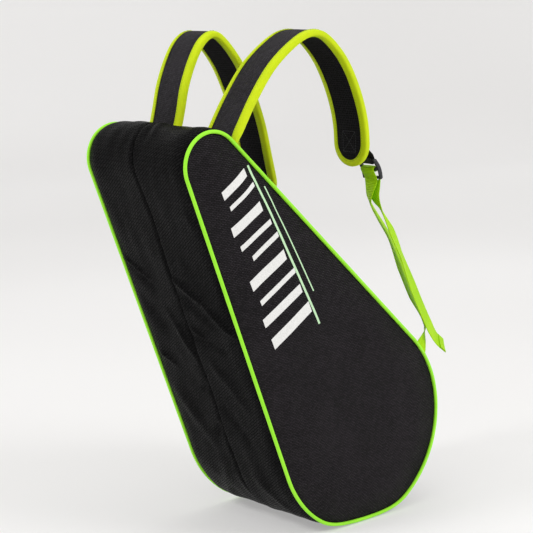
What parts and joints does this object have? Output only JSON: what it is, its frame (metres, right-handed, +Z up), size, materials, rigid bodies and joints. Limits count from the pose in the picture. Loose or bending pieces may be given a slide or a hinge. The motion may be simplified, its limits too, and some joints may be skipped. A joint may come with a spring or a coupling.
{
  "type": "paddle case",
  "caption": "Padded teardrop paddle case with a zip-open hinged lid, piped edges, padded shoulder straps, ladder-lock buckles and loose webbing tails.",
  "frame": {"origin": "middle of the overall width and depth, on the surface that the round wide end rests on", "axes": "+Z up in the leaning display pose, +Y out of the rear panel, +X towards the webbing tails; the case's own axis leans 32.6 degrees from +Z towards -X"},
  "size_m": [0.463, 0.212, 0.6623],
  "materials": {
    "panel_cloth": "black woven polyester, matt with a faint sheen",
    "gusset_cloth": "black oxford with a woven dash pattern, satin",
    "strap_cloth": "charcoal woven nylon",
    "air_mesh": "black spacer mesh",
    "lining": "black smooth polyester",
    "foam": "closed-cell foam",
    "piping": "lime covered cord",
    "binding": "yellow-lime folded tape",
    "webbing": "lime polyester webbing",
    "loop_webbing": "black webbing",
    "zip_tape": "black herringbone tape",
    "zip_teeth": "black nylon coil",
    "zip_metal": "gunmetal",
    "buckle_plastic": "black acetal"
  },
  "bodies": {
    "shell": {"rear_panel": "panel_cloth", "rear_panel_foam": "foam", "rear_panel_lining": "lining", "rear_piping": "piping", "rear_gusset": "gusset_cloth", "rear_gusset_foam": "foam", "rear_gusset_lining": "lining", "spine_gusset": "gusset_cloth", "spine_foam": "foam", "spine_lining": "lining", "zip_tape_rear": "zip_tape", "zip_teeth_rear": "zip_teeth", "zip_top_stop": "zip_metal", "zip_bottom_stop": "zip_metal", "front_strap_root": "strap_cloth", "rear_strap_root": "strap_cloth", "front_strap_seam_tab": "webbing", "rear_strap_seam_tab": "webbing"},
    "lid": {"front_panel": "panel_cloth", "front_panel_foam": "foam", "front_panel_lining": "lining", "front_piping": "piping", "front_gusset": "gusset_cloth", "front_gusset_foam": "foam", "front_gusset_lining": "lining", "placket": "gusset_cloth", "zip_tape_front": "zip_tape", "zip_teeth_front": "zip_teeth"},
    "slider": {"zip_slider": "zip_metal", "zip_pull": "zip_metal"},
    "front_strap": {"front_strap_pad": "foam", "front_strap_cover": "strap_cloth", "front_strap_mesh": "air_mesh", "front_strap_binding": "binding", "front_strap_buckle": "buckle_plastic", "front_strap_buckle_loop": "loop_webbing", "front_strap_webbing": "webbing"},
    "front_tail": {"front_strap_tail": "webbing"},
    "rear_strap": {"rear_strap_pad": "foam", "rear_strap_cover": "strap_cloth", "rear_strap_mesh": "air_mesh", "rear_strap_binding": "binding", "rear_strap_buckle": "buckle_plastic", "rear_strap_buckle_loop": "loop_webbing", "rear_strap_webbing": "webbing"},
    "rear_tail": {"rear_strap_tail": "webbing"}
  },
  "joints": [
    {"name": "lid_open", "type": "hinge", "parent": "shell", "child": "lid", "pos_m": [0.14995, -0.102, 0.23655], "axis": [-0.7141, 0, 0.7], "range_deg": [0, 90]},
    {"name": "zip_slide", "type": "slide", "parent": "shell", "child": "slider", "axis": [0.3359, 0, -0.9419], "range_m": [0, 0.35]},
    {"name": "front_strap_swing", "type": "hinge", "parent": "shell", "child": "front_strap", "pos_m": [-0.1451, -0.062, 0.5258], "axis": [0.7643, -0.0549, -0.6425], "range_deg": [-10, 25]},
    {"name": "front_tail_lift", "type": "hinge", "parent": "front_strap", "child": "front_tail", "pos_m": [0.11036, -0.071, 0.4568], "axis": [0, -1, 0], "range_deg": [0, 50]},
    {"name": "rear_strap_swing", "type": "hinge", "parent": "shell", "child": "rear_strap", "pos_m": [-0.1451, 0.062, 0.5258], "axis": [-0.7643, -0.0549, 0.6425], "range_deg": [-10, 25]},
    {"name": "rear_tail_lift", "type": "hinge", "parent": "rear_strap", "child": "rear_tail", "pos_m": [0.06108, 0.071, 0.41246], "axis": [0, -1, 0], "range_deg": [0, 50]}
  ]
}
